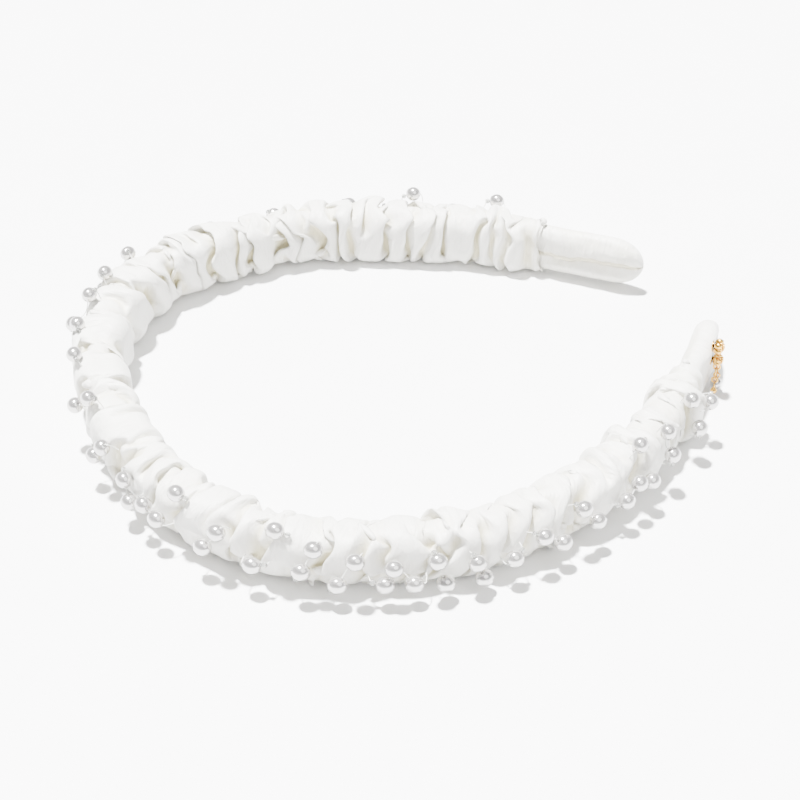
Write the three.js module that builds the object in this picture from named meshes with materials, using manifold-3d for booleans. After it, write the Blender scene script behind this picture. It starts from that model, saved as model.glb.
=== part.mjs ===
// A slim sprung headband with a ruched satin sleeve, sewn-on pearl beads and a small hanging charm.
// It lies on its edge: +Z is the width of the band, the crown is towards -X and both tips point to +X.
// Station s is the distance along the band from the middle of the crown, positive on the left arm (+Y).
import * as THREE from 'three';
import { mergeVertices } from 'three/addons/utils/BufferGeometryUtils.js';
import Module from 'manifold-3d';

const wasm = await Module();
wasm.setup();

// ---------------------------------------------------------------- driving dimensions, in millimetres
const ARCS = [                    // the line of one arm, from the crown to the tip
  { length: 30, radius: 94 },     // crown
  { length: 40, radius: 47 },     // shoulder
  { length: 45, radius: 63 },     // side
  { length: 45, radius: 102 },    // lower side
  { length: 30, radius: 310 },    // tip
];
const MID_HEIGHT = 7.0;           // height of the band's middle line over the table
const FLEX_STATION = 48;          // where each sprung arm bends from the crown

// Each layer of the band: half thickness, half width, corner radius, half of its gap at a flex line,
// and the points on each of its corners
const CORE = { n: 0.7, z: 4.5, corner: 0.6, points: 2, gap: 0.3, end: 180.0 };
const FOAM = { n: 1.7, z: 5.2, corner: 1.6, points: 2, gap: 0.6, end: 184.5 };
const COVER = { n: 2.3, z: 5.8, corner: 2.2, points: 2, gap: 0.8, end: 190.0 };
const SLEEVE = { n: 5.8, z: 7.0, corner: 4.5, points: 3, gap: 1.1, end: 165.0 };
const CORE_SLOT = { n: 1.0, z: 4.8, corner: 0.9, points: 2, end: 180.5 };
const FOAM_POCKET = { n: 2.0, z: 5.5, corner: 1.9, points: 2, end: 185.2 };
const SLEEVE_BORE = { n: 2.6, z: 6.1, corner: 2.5, points: 2 };
const SLEEVE_TAPER = { from: 156, endN: 4.4 };   // the gathers draw in towards the open end

const BINDING = { from: 161.3, to: 162.7, n: 2.95, z: 6.4, corner: 2.8, points: 2 };   // gathers the end
const BINDING_BORE = { n: 2.6, z: 6.05, corner: 2.4, points: 2 };
const BINDING_SEAT = { from: 161.0, to: 163.0, n: 3.25, z: 6.68, corner: 3.1, points: 2 };

const STEP = 8;                   // greatest distance between sweep sections
const TIP_ROUND = 6;              // length over which a tip rounds off
const TIP_BLUNT = 0.2;            // the share of its full size that a tip ends with
const TIP_STEPS = [0, 0.45, 0.75, 0.93];   // where the sections of a rounded tip lie along it
const SAME_STATION = 0.05;        // stations closer than this are one
const WELD = 1e-5;                // vertices closer than this are one
const PASS = 1;                   // how far a cutting sweep runs past the face that it opens

const CLEARANCE = 0.3;            // gap between pieces that touch
const BEAD_RADIUS = 1.7;
const THREAD_RADIUS = 0.25;
const THREAD_SIDES = 5;

// Beads are sewn on by hand, one to three with each length of thread, all on the outer face.
// Each bead is [station, angle round the sleeve in degrees, 0 outwards and 90 up].
const CROWN_SEWINGS = [
  [[-7, 6], [-10, 30]], [[-20, 22], [-22, -4]], [[-27, 12], [-31, 6]], [[-34, 52]],
  [[-42, 4], [-44.5, 30]], [[3, 52], [7, 24]], [[20, 50]], [[31, 56]], [[42, 60], [40, 10]],
];
const RIGHT_SEWINGS = [
  [[51.5, 2]], [[55, 52]], [[60, 6], [62, 36]], [[66, -10], [69, 24]],
  [[74, -10], [75.5, 14], [79, -12]], [[83, 18], [84.5, -18]], [[90, 6], [91.5, -22]], [[97, -2]],
  [[103, 15], [107, -5]], [[112, 28], [115, 2]], [[123, 4], [127, 16], [131, 5]], [[131, 58]],
  [[138.5, 16], [139, 46]], [[150.5, 10], [151, 50]], [[157.5, 22]],
];
const LEFT_SEWINGS = [
  [[51.5, 56]], [[55, 4], [58, -18]], [[62, 42], [64, 14]], [[71, 4], [74, -20], [76, 12]],
  [[82, -6], [85, 18]], [[91, -14], [94, 8]], [[100, 16], [103, -8]], [[109, -20], [112, 4]],
  [[117, 22], [120, -4]], [[126, 8], [128, -20]], [[132, 56]], [[138, -8], [141, 14]],
  [[147, 2], [149, -24]], [[151.5, 44]],
];

// The charm hangs on the outer face near the right tip. Heights are over the table.
const CHARM_STATION = -176;
const CHARM_N = 4.1;              // distance of the hanging pieces' plane from the band's middle line
const ROSETTE_HEIGHTS = { upper: 12.2, lower: 8.9 };
const ROSETTE = { core: 0.95, petal: 0.64, petalRing: 0.85, petals: 5 };
const PLATE = { along: 2.2, thick: 0.3, tall: 5.8, height: 10.4 };
const EYE_HEIGHT = 7.0;           // the fixed eye under the lower rosette
const EYE = { radius: 0.7, wire: 0.22 };
const RING = { radius: 1.6, wire: 0.2 };
const DROP_ANGLE = 40;            // how far each drop sits round the ring from its lowest point, degrees
const DROP_EYE = { radius: 0.65, wire: 0.18 };
const DROP_PEARL_RADIUS = 1.3;
const DROP_BORE_RADIUS = 0.5;
const PIN_RADIUS = 0.2;
const PIN_HEAD = { radius: 0.42, thick: 0.2, gap: 0.15 };
const PEARL_TO_EYE = 0.1;
const GOLD_BEAD_RADIUS = 0.75;
const GOLD_BEAD_HEIGHT = 1.3;
const POST_SIDES = 6;
const BORE_SIDES = 8;
const WIRE_SIDES = 5;
const LOOP_SIDES = 12;

// ---------------------------------------------------------------- materials
const finish = (color, roughness, metalness = 0) =>
  new THREE.MeshStandardMaterial({ color, roughness, metalness });
const FINISHES = {
  core: () => finish(0xe9e6df, 0.45),
  foam: () => finish(0xf4f1e8, 0.95),
  satin: () => finish(0xf3f1ea, 0.5),
  elastic: () => finish(0xe8e6e0, 0.8),
  pearl: () => finish(0xefedea, 0.2),
  gold: () => finish(0xd9a441, 0.25, 1),
};

// ---------------------------------------------------------------- the band's line
function along(station) {
  const side = Math.sign(station) || 1;
  let left = Math.abs(station);
  let x = 0, y = 0, heading = 0;
  ARCS.forEach(({ length, radius }, i) => {
    const part = i === ARCS.length - 1 ? left : Math.min(left, length);
    const next = heading + part / radius;
    x += radius * (Math.cos(heading) - Math.cos(next));
    y += radius * (Math.sin(next) - Math.sin(heading));
    heading = next;
    left -= part;
  });
  return { x, y: side * y, heading: side * heading };
}

// A point at a station, n outwards from the middle line, at height z over the table
function place(station, n, z) {
  const { x, y, heading } = along(station);
  return new THREE.Vector3(x - n * Math.cos(heading), y + n * Math.sin(heading), z);
}

// ---------------------------------------------------------------- solids
// A rounded rectangle of half sizes n and z, counter-clockwise with n to the right
function section({ n, z, corner, points: perCorner }, scaleN = 1, scaleZ = 1) {
  const points = [];
  const corners = [[1, -1, -90], [1, 1, 0], [-1, 1, 90], [-1, -1, 180]];
  corners.forEach(([sideN, sideZ, start]) => {
    for (let i = 0; i < perCorner; i++) {
      const angle = THREE.MathUtils.degToRad(start + 90 * i / (perCorner - 1));
      points.push([
        scaleN * (sideN * (n - corner) + corner * Math.cos(angle)),
        scaleZ * (sideZ * (z - corner) + corner * Math.sin(angle)),
      ]);
    }
  });
  return points;
}

// Sweeps a section along the band through the given stations, with flat ends
function sweep(stations, sectionAt) {
  const rings = stations.map((s) => sectionAt(s).map(([n, z]) => place(s, n, MID_HEIGHT + z)));
  const count = rings[0].length;
  const vertices = rings.flat();
  const faces = [];
  for (let i = 0; i < rings.length - 1; i++) {
    for (let j = 0; j < count; j++) {
      const a = i * count + j, b = i * count + (j + 1) % count;
      const c = a + count, d = b + count;
      faces.push([a, b, c], [b, d, c]);
    }
  }
  const last = (rings.length - 1) * count;
  for (let j = 1; j < count - 1; j++) {
    faces.push([0, j + 1, j], [last, last + j, last + j + 1]);
  }
  const geometry = new THREE.BufferGeometry().setFromPoints(vertices);
  geometry.setIndex(faces.flat());
  return geometry;
}

function stationsBetween(from, to, extra = []) {
  // an odd number of spans, so that one of them lies over the middle of the crown
  const steps = Math.ceil((to - from) / STEP / 2 - 0.5) * 2 + 1;
  const even = Array.from({ length: steps + 1 }, (_, i) => from + (to - from) * i / steps);
  const all = [...even, ...extra].sort((a, b) => a - b);
  return all.filter((s, i) => i === 0 || s - all[i - 1] > SAME_STATION);
}

const roundedTip = (end) => TIP_STEPS.map((share) => end - TIP_ROUND * (1 - share));

// Full size until the tip, then a quarter round
function tipScale(s, end) {
  const over = Math.max(0, (Math.abs(s) - (end - TIP_ROUND)) / TIP_ROUND);
  return Math.sqrt(Math.max(TIP_BLUNT * TIP_BLUNT, 1 - over * over));
}

function solid(geometry) {
  const bare = geometry.clone();
  bare.deleteAttribute('normal');
  bare.deleteAttribute('uv');
  const merged = mergeVertices(bare, WELD);
  const mesh = new wasm.Mesh({
    numProp: 3,
    vertProperties: new Float32Array(merged.getAttribute('position').array),
    triVerts: new Uint32Array(merged.index.array),
  });
  return new wasm.Manifold(mesh);
}

function geometryOf(manifold) {
  const mesh = manifold.getMesh();
  const geometry = new THREE.BufferGeometry();
  geometry.setAttribute('position', new THREE.BufferAttribute(new Float32Array(mesh.vertProperties), 3));
  geometry.setIndex(new THREE.BufferAttribute(new Uint32Array(mesh.triVerts), 1));
  return geometry;
}

const cut = (body, ...tools) =>
  geometryOf(tools.reduce((left, tool) => left.subtract(solid(tool)), solid(body)));
const join = (...geometries) =>
  geometryOf(geometries.map(solid).reduce((whole, next) => whole.add(next)));

// ---------------------------------------------------------------- the object
const headband = new THREE.Group();

function add(name, geometry, finishName) {
  geometry.computeVertexNormals();
  const mesh = new THREE.Mesh(geometry, FINISHES[finishName]());
  mesh.name = name;
  headband.add(mesh);
  return mesh;
}

// A layer is made in three lengths: the crown, and the two arms that flex from it
function crownRange(layer, past = 0) {
  const edge = FLEX_STATION - layer.gap + past;
  return stationsBetween(-edge, edge);
}

function armRange(side, from, to, extra = []) {
  const stations = stationsBetween(from, to, extra);
  return side > 0 ? stations : stations.map((s) => -s).reverse();
}

// A solid arm layer with a rounded tip
function tippedArm(side, layer, from) {
  const stations = armRange(side, from, layer.end, roundedTip(layer.end));
  return sweep(stations, (s) => section(layer, tipScale(s, layer.end), tipScale(s, layer.end)));
}

const SIDES = [['right', -1], ['left', 1]];
const plain = (size) => () => section(size);

// The springy plastic strip inside
add('core_crown', sweep(crownRange(CORE), plain(CORE)), 'core');
SIDES.forEach(([name, side]) => {
  add(`core_${name}`, tippedArm(side, CORE, FLEX_STATION + CORE.gap), 'core');
});

// A foam sock round the strip
add('foam_crown',
  cut(sweep(crownRange(FOAM), plain(FOAM)), sweep(crownRange(FOAM, PASS), plain(CORE_SLOT))), 'foam');
SIDES.forEach(([name, side]) => {
  const start = FLEX_STATION + FOAM.gap;
  const slot = tippedArm(side, CORE_SLOT, start - PASS);
  add(`foam_${name}`, cut(tippedArm(side, FOAM, start), slot), 'foam');
});

// The flat satin cover, closed at the tips, where it shows past the sleeve
add('cover_crown',
  cut(sweep(crownRange(COVER), plain(COVER)), sweep(crownRange(COVER, PASS), plain(FOAM_POCKET))), 'satin');
SIDES.forEach(([name, side]) => {
  const start = FLEX_STATION + COVER.gap;
  const pocket = tippedArm(side, FOAM_POCKET, start - PASS);
  add(`cover_${name}`, cut(tippedArm(side, COVER, start), pocket), 'satin');
});

// The ruched sleeve, open at both ends of each length and drawn in where the elastic gathers it
function sleeveSection(s) {
  const over = Math.max(0, (Math.abs(s) - SLEEVE_TAPER.from) / (SLEEVE.end - SLEEVE_TAPER.from));
  return section(SLEEVE, 1 - over * (1 - SLEEVE_TAPER.endN / SLEEVE.n));
}

add('sleeve_crown',
  cut(sweep(crownRange(SLEEVE), sleeveSection), sweep(crownRange(SLEEVE, PASS), plain(SLEEVE_BORE))),
  'satin');
SIDES.forEach(([name, side]) => {
  const start = FLEX_STATION + SLEEVE.gap;
  const body = sweep(armRange(side, start, SLEEVE.end, [SLEEVE_TAPER.from]), sleeveSection);
  const bore = sweep(armRange(side, start - PASS, SLEEVE.end + PASS), plain(SLEEVE_BORE));
  const seat = sweep(armRange(side, BINDING_SEAT.from, BINDING_SEAT.to), plain(BINDING_SEAT));
  add(`sleeve_${name}`, cut(body, bore, seat), 'satin');
  const ring = sweep(armRange(side, BINDING.from, BINDING.to), plain(BINDING));
  const ringBore = sweep(armRange(side, BINDING.from - PASS, BINDING.to + PASS), plain(BINDING_BORE));
  add(`gather_elastic_${name}`, cut(ring, ringBore), 'elastic');
});

// ---------------------------------------------------------------- pearl beads
// The middle of a bead that rests on the sleeve at an angle round it
function beadPoint([station, degrees]) {
  const angle = THREE.MathUtils.degToRad(degrees);
  const reach = BEAD_RADIUS + CLEARANCE;
  const direction = [Math.cos(angle), Math.sin(angle)];
  const flat = [SLEEVE.n - SLEEVE.corner, SLEEVE.z - SLEEVE.corner];
  const corner = direction.map((share, i) => share * flat[i] / Math.max(...direction.map(Math.abs)));
  const radius = SLEEVE.corner + reach;
  return place(station, corner[0] + direction[0] * radius, MID_HEIGHT + corner[1] + direction[1] * radius);
}

function rodBetween(a, b, radius) {
  const rod = new THREE.CylinderGeometry(radius, radius, a.distanceTo(b), THREAD_SIDES);
  const direction = b.clone().sub(a).normalize();
  const turn = new THREE.Quaternion().setFromUnitVectors(new THREE.Vector3(0, 1, 0), direction);
  return rod.applyQuaternion(turn).translate(...a.clone().add(b).multiplyScalar(0.5).toArray());
}

function sewing(beads) {
  const points = beads.map(beadPoint);
  const balls = points.map((p) => new THREE.IcosahedronGeometry(BEAD_RADIUS, 1).translate(p.x, p.y, p.z));
  const threads = points.slice(1).map((p, i) => rodBetween(points[i], p, THREAD_RADIUS));
  return join(...balls, ...threads);
}

function addSewings(prefix, sewings, side) {
  sewings.forEach((beads, i) => {
    const placed = beads.map(([station, degrees]) => [side * station, degrees]);
    add(`${prefix}_${String(i + 1).padStart(2, '0')}`, sewing(placed), 'pearl');
  });
}

addSewings('pearls_crown', CROWN_SEWINGS, 1);
addSewings('pearls_right', RIGHT_SEWINGS, -1);
addSewings('pearls_left', LEFT_SEWINGS, 1);

// ---------------------------------------------------------------- the charm
// A group whose X runs along the band, Y outwards and Z up, with its origin on the table under the charm
const charm = new THREE.Group();
const { heading: charmHeading } = along(CHARM_STATION);
charm.position.copy(place(CHARM_STATION, 0, 0));
charm.rotation.z = Math.PI / 2 - charmHeading;
headband.add(charm);

function addCharm(name, geometry, finishName) {
  charm.add(add(name, geometry, finishName));
}

function torusAt(radius, wire, x, y, z, axis) {
  const torus = new THREE.TorusGeometry(radius, wire, WIRE_SIDES, LOOP_SIDES);
  if (axis === 'x') torus.rotateY(Math.PI / 2);
  if (axis === 'y') torus.rotateX(Math.PI / 2);
  return torus.translate(x, y, z);
}

const ballAt = (radius, x, y, z, detail = 1) =>
  new THREE.IcosahedronGeometry(radius, detail).translate(x, y, z);
const postBetween = (radius, from, to, x, y, sides = POST_SIDES) =>
  new THREE.CylinderGeometry(radius, radius, to - from, sides)
    .rotateX(Math.PI / 2).translate(x, y, (from + to) / 2);

// A small gilt flower, a ring of round petals about a raised middle
function rosette(height) {
  const petals = Array.from({ length: ROSETTE.petals }, (_, i) => {
    const turn = 2 * Math.PI * (i + 0.5) / ROSETTE.petals;
    const across = ROSETTE.petalRing * Math.cos(turn), up = ROSETTE.petalRing * Math.sin(turn);
    return ballAt(ROSETTE.petal, across, CHARM_N, height + up);
  });
  return [ballAt(ROSETTE.core, 0, CHARM_N, height), ...petals];
}

// Backing plate against the satin
const plate = new THREE.BoxGeometry(PLATE.along, PLATE.thick, PLATE.tall)
  .translate(0, COVER.n + CLEARANCE + PLATE.thick / 2, PLATE.height);
addCharm('charm_plate', plate, 'gold');
addCharm('charm_rosette_upper', join(...rosette(ROSETTE_HEIGHTS.upper)), 'gold');
const lowest = ROSETTE_HEIGHTS.lower - ROSETTE.petalRing;
addCharm('charm_rosette_lower', join(
  ...rosette(ROSETTE_HEIGHTS.lower),
  postBetween(PIN_RADIUS, EYE_HEIGHT + EYE.radius, lowest, 0, CHARM_N),
  torusAt(EYE.radius, EYE.wire, 0, CHARM_N, EYE_HEIGHT, 'x'),
), 'gold');

// Jump ring through the eye, and the two drops that share it
const ringHeight = EYE_HEIGHT - RING.radius;
addCharm('charm_ring', torusAt(RING.radius, RING.wire, 0, CHARM_N, ringHeight, 'y'), 'gold');
const dropTurn = THREE.MathUtils.degToRad(DROP_ANGLE);
const dropX = RING.radius * Math.sin(dropTurn);
const dropZ = ringHeight - RING.radius * Math.cos(dropTurn);

const pearlX = -dropX;
const pearlTop = dropZ - DROP_EYE.radius - DROP_EYE.wire - PEARL_TO_EYE;
const pearlZ = pearlTop - DROP_PEARL_RADIUS;
const pearlBottom = pearlZ - DROP_PEARL_RADIUS;
const pinHeadZ = pearlBottom - PIN_HEAD.gap;
addCharm('drop_pin', join(
  torusAt(DROP_EYE.radius, DROP_EYE.wire, pearlX, CHARM_N, dropZ, 'x'),
  postBetween(PIN_RADIUS, pinHeadZ - PIN_HEAD.thick / 2, dropZ - DROP_EYE.radius, pearlX, CHARM_N),
  postBetween(PIN_HEAD.radius, pinHeadZ - PIN_HEAD.thick, pinHeadZ, pearlX, CHARM_N, BORE_SIDES),
), 'gold');
addCharm('drop_pearl', cut(
  ballAt(DROP_PEARL_RADIUS, pearlX, CHARM_N, pearlZ, 2),
  postBetween(DROP_BORE_RADIUS, pearlBottom - PASS, pearlTop + PASS, pearlX, CHARM_N, BORE_SIDES),
), 'pearl');
addCharm('gold_bead_drop', join(
  torusAt(DROP_EYE.radius, DROP_EYE.wire, dropX, CHARM_N, dropZ, 'x'),
  postBetween(PIN_RADIUS, GOLD_BEAD_HEIGHT, dropZ - DROP_EYE.radius, dropX, CHARM_N),
  ballAt(GOLD_BEAD_RADIUS, dropX, CHARM_N, GOLD_BEAD_HEIGHT),
), 'gold');

// ---------------------------------------------------------------- origin under the middle of the box
headband.updateMatrixWorld(true);
const box = new THREE.Box3().setFromObject(headband, true);
const middle = box.getCenter(new THREE.Vector3());
headband.position.set(-middle.x, -middle.y, -box.min.z);
headband.updateMatrixWorld(true);

export default headband;
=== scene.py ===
import math

import bpy
import numpy as np
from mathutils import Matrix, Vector


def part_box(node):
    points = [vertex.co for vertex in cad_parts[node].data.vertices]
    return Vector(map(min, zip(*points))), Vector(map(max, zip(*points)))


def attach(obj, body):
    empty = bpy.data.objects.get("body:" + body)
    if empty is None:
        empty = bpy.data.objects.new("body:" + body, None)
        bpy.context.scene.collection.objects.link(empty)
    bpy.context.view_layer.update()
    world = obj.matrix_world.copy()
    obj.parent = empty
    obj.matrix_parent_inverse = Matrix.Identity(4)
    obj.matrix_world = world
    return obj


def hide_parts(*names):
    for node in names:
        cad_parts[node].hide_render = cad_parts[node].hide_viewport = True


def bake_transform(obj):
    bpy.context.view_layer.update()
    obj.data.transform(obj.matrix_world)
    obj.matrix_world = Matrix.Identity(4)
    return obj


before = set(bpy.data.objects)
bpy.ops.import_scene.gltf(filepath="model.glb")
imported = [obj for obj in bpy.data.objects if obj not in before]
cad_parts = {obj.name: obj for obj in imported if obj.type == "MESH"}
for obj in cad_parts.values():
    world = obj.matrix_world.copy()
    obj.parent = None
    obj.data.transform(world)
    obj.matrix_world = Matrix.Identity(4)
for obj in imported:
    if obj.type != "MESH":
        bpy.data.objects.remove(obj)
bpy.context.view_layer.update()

# All sizes are in metres, in the frame of the CAD model: the band lies on its edge, crown towards -X.
MM = 0.001

# ---------------------------------------------------------------- the band's line, as in the CAD model
ARCS = ((30, 94), (40, 47), (45, 63), (45, 102), (30, 310))    # length and radius of each arc of an arm, mm
# each layer's half depth and half height, the radius of its corners, and the station where it ends, mm
STRIP_HALF, STRIP_CORNER, STRIP_END = (0.7, 4.5), 0.6, 180.0
FOAM_HALF, FOAM_CORNER, FOAM_END = (1.7, 5.2), 1.6, 184.5
COVER_HALF, COVER_CORNER, COVER_END = (2.3, 5.8), 2.2, 190.0
SLEEVE_HALF, SLEEVE_CORNER, SLEEVE_END = (5.8, 7.0), 4.5, 165.0
SATIN = 0.2 * MM              # how thick the satin is
core_low, core_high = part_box("core_crown")
ORIGIN_X = core_low.x + STRIP_HALF[0] * MM
ORIGIN_Y = (core_low.y + core_high.y) / 2
MID = (core_low.z + core_high.z) / 2


def along(s):
    """The band's line at station s in mm: x and y in metres, and the heading."""
    s = np.asarray(s, float)
    left, side = np.abs(s), np.where(s < 0, -1.0, 1.0)
    x, y, heading = np.zeros_like(s), np.zeros_like(s), np.zeros_like(s)
    for i, (length, radius) in enumerate(ARCS):
        part = left if i == len(ARCS) - 1 else np.minimum(left, length)
        turned = heading + part / radius
        x = x + radius * (np.cos(heading) - np.cos(turned))
        y = y + radius * (np.sin(turned) - np.sin(heading))
        heading, left = turned, left - part
    return ORIGIN_X + x * MM, ORIGIN_Y + side * y * MM, side * heading


def place(p):
    """Points (station, outwards, up from the middle line) in mm, to points in metres."""
    p = np.asarray(p, float)
    x, y, h = along(p[..., 0])
    n = p[..., 1] * MM
    return np.stack([x - n * np.cos(h), y + n * np.sin(h), MID + p[..., 2] * MM], -1)


def curvature(s):
    """The bend of the band's line at each station, per mm."""
    ends = np.cumsum([length for length, _ in ARCS])
    arc = np.minimum(np.searchsorted(ends, np.abs(s)), len(ARCS) - 1)
    return 1 / np.array([radius for _, radius in ARCS])[arc]


# ---------------------------------------------------------------- camera
LOOK_AT = Vector((0.0001, -0.0035, 0.0))
VIEW_AZIMUTH, VIEW_ELEVATION, VIEW_DISTANCE = math.radians(23.51), math.radians(34.36), 0.430
camera_data = bpy.data.cameras.new("camera")
camera_data.lens, camera_data.sensor_width = 87.6, 36.0
camera_data.clip_start = 0.01
camera = bpy.data.objects.new("camera", camera_data)
bpy.context.scene.collection.objects.link(camera)
forward = Vector((math.sin(VIEW_AZIMUTH) * math.cos(VIEW_ELEVATION),
                  math.cos(VIEW_AZIMUTH) * math.cos(VIEW_ELEVATION), -math.sin(VIEW_ELEVATION)))
camera.location = LOOK_AT - forward * VIEW_DISTANCE
camera.rotation_euler = forward.to_track_quat("-Z", "Y").to_euler()
bpy.context.scene.camera = camera


# ---------------------------------------------------------------- meshes
def rounded_section(half_n, half_z, corner, count):
    """Points round a rounded rectangle, evenly spaced, the first one outwards and the next ones upwards."""
    corners = [(half_n, half_z, 0), (-half_n, half_z, 90),
               (-half_n, -half_z, 180), (half_n, -half_z, 270)]
    points = [(half_n, 0.0)]
    for cn, cz, start in corners:
        middle = (cn - math.copysign(corner, cn), cz - math.copysign(corner, cz))
        for angle in np.radians(start + np.linspace(0, 90, 25)):
            points.append((middle[0] + corner * math.cos(angle), middle[1] + corner * math.sin(angle)))
    points = np.array(points + [points[0]])
    run = np.concatenate([[0], np.cumsum(np.linalg.norm(np.diff(points, axis=0), axis=1))])
    at = np.arange(count) * run[-1] / count
    return np.stack([np.interp(at, run, points[:, 0]), np.interp(at, run, points[:, 1])], -1)


def new_object(name, vertices, faces, smooth=True):
    mesh = bpy.data.meshes.new(name)
    mesh.from_pydata([tuple(v) for v in vertices], [], faces)
    if smooth:
        mesh.shade_smooth()
    mesh.update()
    obj = bpy.data.objects.new(name, mesh)
    bpy.context.scene.collection.objects.link(obj)
    return obj


def tube_faces(rows, count, first=0, wrap_rows=False):
    """Quads of a tube of rings, facing outwards."""
    faces = []
    for i in range(rows if wrap_rows else rows - 1):
        for j in range(count):
            k = (j + 1) % count
            a, b = first + i * count, first + ((i + 1) % rows) * count
            faces.append((a + j, a + k, b + k, b + j))
    return faces


def uv_layer(obj, flat):
    """A UV map in metres of flat cloth, and its values for each corner of each face."""
    layer = obj.data.uv_layers.new(name="cloth")
    loops = np.zeros(len(obj.data.loops), int)
    obj.data.loops.foreach_get("vertex_index", loops)
    return layer, flat[loops].copy()


def add_uv(obj, flat, count):
    """A tube's UV map, U along the band and V round it. Faces that close it run on past the last V."""
    layer, uv = uv_layer(obj, flat)
    quads = uv.reshape(-1, 4, 2)
    widest = flat[:, 1].max()
    wrapped = (quads[:, :, 1].max(1) - quads[:, :, 1].min(1)) > widest / 2
    low = quads[:, :, 1] < widest / 2
    quads[:, :, 1] += np.where(wrapped[:, None] & low, widest * count / (count - 1), 0)
    layer.data.foreach_set("uv", quads.reshape(-1))


# ---------------------------------------------------------------- smooth noise with a fixed seed
def blur(field, sigma, axis, wrap):
    if sigma < 0.3:
        return field
    reach = int(3 * sigma) + 1
    weights = np.exp(-0.5 * (np.arange(-reach, reach + 1) / sigma) ** 2)
    weights /= weights.sum()
    widths = [(reach, reach) if a == axis else (0, 0) for a in (0, 1)]
    padded = np.pad(field, widths, "wrap" if wrap else "reflect")
    return np.apply_along_axis(lambda line: np.convolve(line, weights, "valid"), axis, padded)


def noise(rows, count, sigma_rows, sigma_round, seed):
    field = np.random.default_rng(seed).standard_normal((rows, count))
    field = blur(blur(field, sigma_rows, 0, False), sigma_round, 1, True)
    return field / field.std()


# ---------------------------------------------------------------- the ruched sleeve, gathered by simulation
# A tube of satin longer than the band is pushed together along it, so that it buckles into folds. It is
# simulated straight, in mm, row by row along the band, and then laid on the band's line.
ROW_STEP = 0.4                # between rows of points along the band
ROUND = 64                    # points in a row
TURN = np.arange(ROUND) * 2 * math.pi / ROUND
UPPER_HALF = np.arange(ROUND) <= ROUND // 2
TUBE_AROUND = 45.0            # the cloth tube's flat circumference
BINDING_STATION = 162.0       # where the elastic draws the sleeve in
COLLAR_GAP = 0.9              # from there to the start of the free frill
SIM_STEPS = 110
PER_FOLD, PATTERN_MARGIN = 12, 20    # rows of the fold pattern in one fold, and spare ones at each end
# sections: half depth, half height, corner radius
START_SECTION = (4.6, 5.9, 3.9)      # the tube before it is gathered
FOLD_SECTION = (3.0, 5.0, 2.6)       # folds grow away from this one
PADDED_SECTION = (2.7, 6.15, 2.5)    # the padded band, which the cloth can't enter
BOUND_SECTION = (3.05, 6.5, 2.8)     # under the elastic
CREASE_SECTION = (3.4, 6.35, 2.8)    # in the middle of the crown, where the two pieces meet
PUFF_CORNER = 4.0                    # corner radius of the space that the puffs may fill
TABLE = -6.78                        # the lowest that the cloth's outer side may lie
BEAD_PRESS = 1.82                    # how far a bead's middle keeps the cloth away


def rounded_distance(n, z, half_n, half_z, corner):
    """Signed distance to a rounded rectangle, and its outward direction."""
    qn, qz = np.abs(n) - (half_n - corner), np.abs(z) - (half_z - corner)
    on, oz = np.maximum(qn, 0), np.maximum(qz, 0)
    length = np.hypot(on, oz)
    inside = np.minimum(np.maximum(qn, qz), 0)
    distance = length + inside - corner
    flat = length < 1e-9
    gn = np.where(flat, (qn > qz) * 1.0, on / np.maximum(length, 1e-9)) * np.sign(n)
    gz = np.where(flat, (qn <= qz) * 1.0, oz / np.maximum(length, 1e-9)) * np.sign(z)
    return distance, gn, gz


def fold_length(s):
    """How far apart the folds are along the band at each station, mm."""
    return np.interp(s, [-165, -150, -100, -60, -30, 0, 45, 60, 80, 165],
                     [5.0, 4.8, 3.4, 3.5, 4.6, 6.2, 6.4, 4.6, 3.6, 3.6])


def gather(s):
    """Flat cloth per length of band at each station."""
    return np.interp(s, [-165, -100, -45, 0, 45, 70, 165], [1.6, 1.7, 1.55, 1.4, 1.45, 1.65, 1.65])


def pull_rows(p, rest, offset, stiff):
    """Moves pairs of neighbouring rows, from the offset row on, towards their rest distance."""
    b = p[offset + 1::2]
    a = p[offset::2][:len(b)]
    d = b - a
    length = np.sqrt((d * d).sum(-1, keepdims=True)) + 1e-9
    change = 0.5 * stiff * (1 - rest[offset::2] / length)
    a += d * change
    b -= d * change


PRESSED_SHARE = 0.06


def pull_round(p, rest, offset, stiff):
    """The same round each row. Cloth gives way to a push, and hardly at all to a pull."""
    a, b = (p[:, 0::2], p[:, 1::2]) if offset == 0 else (p[:, 1::2], np.roll(p, -1, 1)[:, 1::2])
    d = b - a
    length = np.sqrt((d * d).sum(-1, keepdims=True)) + 1e-9
    change = 0.5 * stiff * (1 - rest / length)
    move = d * np.where(change > 0, change, PRESSED_SHARE * change)
    if offset == 0:
        p[:, 0::2] += move
        p[:, 1::2] -= move
    else:
        p[:, 1::2] += move
        p[:, 2::2] -= move[:, :-1]
        p[:, 0] -= move[:, -1]


def unbend(p, stiff, axis):
    """Takes out the sharpest bends, as the cloth's own stiffness does."""
    if axis == 0:
        bend = p.copy()
        bend[1:-1] -= (p[:-2] + p[2:]) / 2
        bend[0] = bend[-1] = 0
        again = bend.copy()
        again[1:-1] -= (bend[:-2] + bend[2:]) / 2
        again[:2] = again[-2:] = 0
    else:
        bend = p - (np.roll(p, 1, 1) + np.roll(p, -1, 1)) / 2
        again = bend - (np.roll(bend, 1, 1) + np.roll(bend, -1, 1)) / 2
    p -= stiff * again


def pull_shear(p, rest, stiff):
    """Moves diagonal neighbours towards their rest distance, both ways."""
    for turn in (-1, 1):
        d = np.roll(p, turn, 1)[1:] - p[:-1]
        length = np.sqrt((d * d).sum(-1, keepdims=True)) + 1e-9
        move = d * (0.25 * stiff * (1 - rest / length))
        p[:-1] += move
        p[1:] -= np.roll(move, -turn, 1)


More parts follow.
